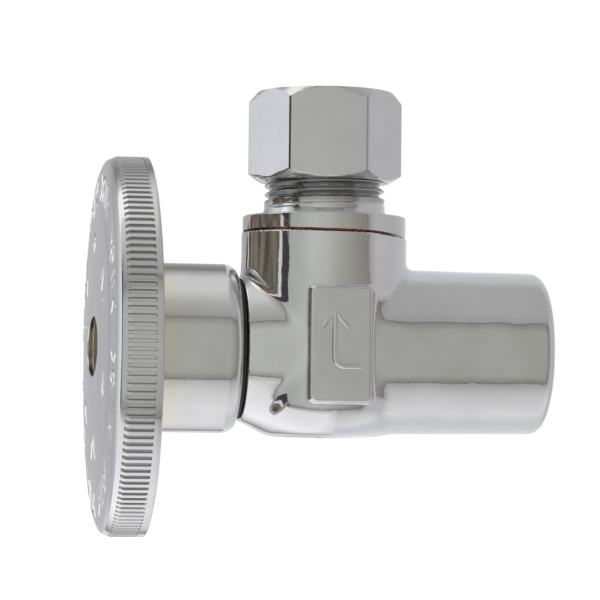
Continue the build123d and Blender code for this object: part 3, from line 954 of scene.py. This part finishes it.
def make_handwheel():
    back_x = RIM_BACK_X
    step = 0.45
    path = loop([
        (POCKET_FLOOR_X, POCKET[1], 0, 0), (face_x(POCKET[1]), POCKET[1], 0.18, 0.5),
        (face_x(6.6), 6.6, 0, step), (face_x(11.0), 11.0, 0, step), (face_x(15.7), 15.7, 0, 0),
        (face_x(16.2), 16.2, 0, step), (face_x(20.6), 20.6, 0, 0), (face_x(21.4), 21.4, 0, 0),
        (-25.98, 21.7, 0, 0), (-25.88, 21.775, 0, 0.26), (-24.9, RIM_R, 0.2, 0.3),
        (-22.2, RIM_R, 0, 0), (-22.08, RIM_R, 0, 0), (-21.4, RIM_R, 0.1, 0),
        (back_x, 21.95, 0.1, 0), (back_x, 20.1, 0.3, 0), (RECESS_X, 18.9, 0.5, 0), (RECESS_X, 11.1, 0.5, 0),
        (back_x, 10.6, 0.25, 0), (back_x + 0.1, 9.6, 0, 0), (-20.6, 9.3, 0, 0), (-20.6, 6.1, 0, 0),
        (-19.6, 6.1, 0, 0), (-19.6, INSERT_R, 0, 0), (-22.18, INSERT_R, 0, 0), (-22.18, COLLAR_R, 0, 0),
        (-23.22, COLLAR_R, 0, 0), (-23.22, INSERT_R, 0, 0), (POCKET_FLOOR_X, INSERT_R, 0, 0),
    ])
    pitch = 2 * math.pi / KNURLS
    tooth = np.array((-0.5, -0.4, -0.285, -0.27, -0.17, -0.155, 0, 0.155, 0.17, 0.27, 0.285, 0.4)) * pitch
    angles = np.concatenate([k * pitch + tooth for k in range(KNURLS)])
    rows = rings(path, angles)
    along, radius, angle = rows[..., 0], rows[..., 1], rows[..., 2]
    # grooves round the rim
    across = np.abs(angle / pitch - np.round(angle / pitch))
    depth = 1 - smooth_step(across, 0.165, 0.275)
    closed = np.clip((KNURL_END + 0.02 - along) / 0.1, 0, 1)
    closed = closed * np.clip((along - KNURL_START + 0.2) / 0.25, 0, 1)
    on_rim = (along > -25.9) & (along < back_x - 0.2) & (radius > 21.4)
    cut = np.maximum(radius - KNURL_FLOOR_R, 0) * depth * closed
    rows[..., 1] = np.where(on_rim, radius - cut, radius)
    # the pocket round the screw is longer than it is high
    opening = 1 / np.hypot(np.cos(angle) / POCKET[0], np.sin(angle) / POCKET[1])
    fade = np.clip((POCKET_BLEND_R - radius) / (POCKET_BLEND_R - POCKET[1]), 0, 1)
    mouth = (along < POCKET_FLOOR_X + 0.01) & (radius < POCKET_BLEND_R) & (radius != INSERT_R)
    rows[..., 1] = np.where(mouth, radius + (opening - POCKET[1]) * fade, rows[..., 1])
    # the back of the rim leans a little
    leaning = (along > -21.7) & (radius > 19.9)
    rows[..., 0] = along + np.where(leaning, 0.0125 * np.maximum(-radius * np.sin(angle), 0), 0)
    # where the pocket is wider than the insert, its floor is deeper
    bed = (along == POCKET_FLOOR_X) & ((radius == POCKET[1]) | (radius == INSERT_R))
    rows[..., 0] = np.where(bed & (opening > INSERT_R), -26.3, rows[..., 0])
    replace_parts(turned("handwheel", rows, "turning_handle", "chrome_handle", sharp=20), "handle")


def make_hub():
    turns = np.radians(np.arange(0, 80, 5))
    crown = [(HUB_END_X - 1.65 + 1.65 * math.sin(t), HUB_R - 1.0 + math.cos(t), 0, 0) for t in turns]
    path = loop([
        (RIM_BACK_X - 0.05, HUB_R, 0, 0), *crown, (HUB_END_X, 8.85, 0, 0), (HUB_END_X, HUB_BORE_R, 0.05, 0),
        (-20.5, HUB_BORE_R, 0, 0), (RIM_BACK_X - 0.05, HUB_BORE_R, 0, 0),
    ])
    rows = rings(path, np.linspace(0, 2 * math.pi, 160, endpoint=False))
    turned("hub", rows, "turning_handle", "chrome_handle")


def make_ribs():
    """Ribs across the hollow back, from the hub to the rim."""
    low_x, high_x, half, inner, outer = RECESS_X - 0.1, -21.7, 0.6, 9.6, 19.5
    box_faces = ((0, 1, 2, 3), (7, 6, 5, 4), (0, 4, 5, 1), (1, 5, 6, 2), (2, 6, 7, 3), (3, 7, 4, 0))
    points, faces = [], []
    for k in range(RIB_COUNT):
        turn = math.radians(360 / RIB_COUNT * k + 30)
        cos, sin = math.cos(turn), math.sin(turn)
        for x in (low_x, high_x):
            for side, reach in ((-half, inner), (half, inner), (half, outer), (-half, outer)):
                points.append((x, side * cos - reach * sin, side * sin + reach * cos))
        faces += [[8 * k + i for i in face] for face in box_faces]
    ribs = mesh_object("handle_ribs", np.array(points), np.array(faces), "turning_handle", "chrome_handle")
    ribs.data.set_sharp_from_angle(angle=math.radians(32))
    bevel = ribs.modifiers.new("bevel", "BEVEL")
    bevel.width = 0.15 * MM
    bevel.segments = 2


make_world()
make_camera()
make_floor()
make_card()
make_light("key_light", (CENTRE.x - 0.25, -0.35, 0.75), (CENTRE.x, 0, 0), 0.5, 6.0)

MATERIALS = {
    "chrome_cast": chrome("chrome_cast", rough=0.03, waves=0.05, pits=0.12),
    "chrome_turned": chrome("chrome_turned", **TURNED),
    "chrome_thread": chrome("chrome_thread", **TURNED, worn=worn_thread),
    "chrome_handle": chrome("chrome_handle", rough=0.07, pits=0.3, worn=handle_wear_and_shade),
    "chrome_marks": chrome("chrome_marks", base=(0.80, 0.80, 0.81), rough=0.1, pits=0.1),
    "brass": brass("brass"),
    "steel": steel("steel"),
    "rubber": rubber("rubber"),
    "seat_plastic": seat_plastic("seat_plastic"),
    "braze": braze("braze"),
}
for part in frame["record"]["subparts"]:
    node = NODES[part["node"]]
    node.data.materials.clear()
    node.data.materials.append(MATERIALS[part["material_slot"]])

make_casting()
make_flow_arrow()
make_nipple()
make_nut()
make_braze()
make_handwheel()
make_hub()
make_ribs()
make_face_marks()
